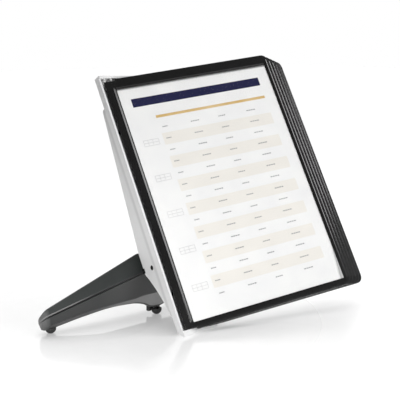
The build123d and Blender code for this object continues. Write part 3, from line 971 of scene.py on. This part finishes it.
def studio_world():
    """White room that is dark where the panels would mirror it, and plain white as a backdrop."""
    dark_side = Vector((-0.5, -0.7, 0.5)).normalized()
    edge = (-0.15, 0.6)
    brightness = (1.0, 0.12)
    world = bpy.data.worlds.new("studio")
    world.use_nodes = True
    tree = world.node_tree
    heading = tree.nodes.new("ShaderNodeTexCoord").outputs["Generated"]
    side = vector_number(tree, "DOT_PRODUCT", heading, dark_side)
    room = mapped(tree, side, edge, brightness)
    rays = tree.nodes.new("ShaderNodeLightPath")
    backdrop = tree.nodes.new("ShaderNodeMath")
    backdrop.operation = "MAXIMUM"
    tree.links.new(room, backdrop.inputs[0])
    tree.links.new(rays.outputs["Is Camera Ray"], backdrop.inputs[1])
    background = tree.nodes["Background"]
    background.inputs["Color"].default_value = (1, 1, 1, 1)
    tree.links.new(backdrop.outputs["Value"], background.inputs["Strength"])
    bpy.context.scene.world = world


def area_light(name, spot, target, size, power):
    """Square softbox that shines from a spot at a target."""
    data = bpy.data.lights.new(name, "AREA")
    data.size = size
    data.energy = power
    lamp = bpy.data.objects.new(name, data)
    lamp.location = spot
    lamp.rotation_euler = (Vector(target) - Vector(spot)).to_track_quat("-Z", "Y").to_euler()
    lamp.visible_camera = False
    bpy.context.scene.collection.objects.link(lamp)


def overhead_light():
    """Very wide light from above, a little from behind."""
    shine = Vector((-0.17, -0.35, -1))
    data = bpy.data.lights.new("overhead", "SUN")
    data.energy = 1.7
    data.angle = math.radians(60)
    lamp = bpy.data.objects.new("overhead", data)
    lamp.rotation_euler = shine.to_track_quat("-Z", "Y").to_euler()
    bpy.context.scene.collection.objects.link(lamp)


def table_white():
    """White table surface, glossiest round the base."""
    glossy_spot = (-0.05, 0.03, 0)
    gloss_span = (0.05, 0.45)
    rough = (0.045, 0.5)
    made = grained("table_white", grey(0.59), grey(0.61), rough, table_grain, 0.0)
    tree = made.node_tree
    shader = tree.nodes["Principled BSDF"]
    shader.inputs["Emission Color"].default_value = (1, 1, 1, 1)
    shader.inputs["Emission Strength"].default_value = 0.29
    shader.inputs["IOR"].default_value = 1.9
    away = vector_number(tree, "DISTANCE", object_point(tree), glossy_spot)
    tree.links.new(mapped(tree, away, gloss_span, rough), shader.inputs["Roughness"])
    return made


def flat_stage(name, corners, finish):
    """Flat stage piece through its corners."""
    mesh = bmesh.new()
    mesh.faces.new([mesh.verts.new(corner) for corner in corners])
    data = bpy.data.meshes.new(name)
    mesh.to_mesh(data)
    mesh.free()
    data.materials.append(finish)
    made = bpy.data.objects.new(name, data)
    bpy.context.scene.collection.objects.link(made)
    return made


def studio_floor():
    """Wide white table top, a hair below the feet."""
    reach = 6.0
    level = -0.0001
    sides = [(-reach, -reach), (reach, -reach), (reach, reach), (-reach, reach)]
    flat_stage("table_top", [(x, y, level) for x, y in sides], table_white())


def left_flag():
    """Dark flag on the left that only takes away diffuse light, and shows in no picture or gloss."""
    reach = 1.2
    low = 0.08
    high = 1.5
    away = -0.45
    sides = [(-reach, low), (reach, low), (reach, high), (-reach, high)]
    flag = flat_stage("left_flag", [(away, y, z) for y, z in sides], dark_steel)
    flag.visible_camera = False
    flag.visible_glossy = False
    flag.visible_transmission = False
    flag.visible_shadow = False


def photo_camera():
    """Camera at the photograph's viewpoint."""
    azimuth = math.radians(39.532)
    elevation = math.radians(10.717)
    look = Vector((
        math.sin(azimuth) * math.cos(elevation),
        math.cos(azimuth) * math.cos(elevation),
        -math.sin(elevation),
    ))
    data = bpy.data.cameras.new("camera")
    data.sensor_width = 36.0
    data.lens = 80.489
    camera = bpy.data.objects.new("camera", data)
    camera.location = (-0.610931, -0.821787, 0.331179)
    camera.rotation_euler = look.to_track_quat("-Z", "Y").to_euler()
    bpy.context.scene.collection.objects.link(camera)
    bpy.context.scene.camera = camera


studio_world()
studio_floor()
left_flag()
photo_camera()
overhead_light()
area_light("key_softbox", spot=(0.42, -1.65, 0.45), target=(0.05, -0.05, 0.12), size=0.8, power=9.8)
area_light("right_softbox", spot=(1.25, -0.68, 1.0), target=(0.2, -0.05, 0.15), size=0.7, power=9.0)
area_light("left_card", spot=(-0.36, -0.2, 0.05), target=(0.0, -0.05, 0.03), size=0.14, power=0.85)
bpy.context.scene.view_settings.view_transform = "Standard"
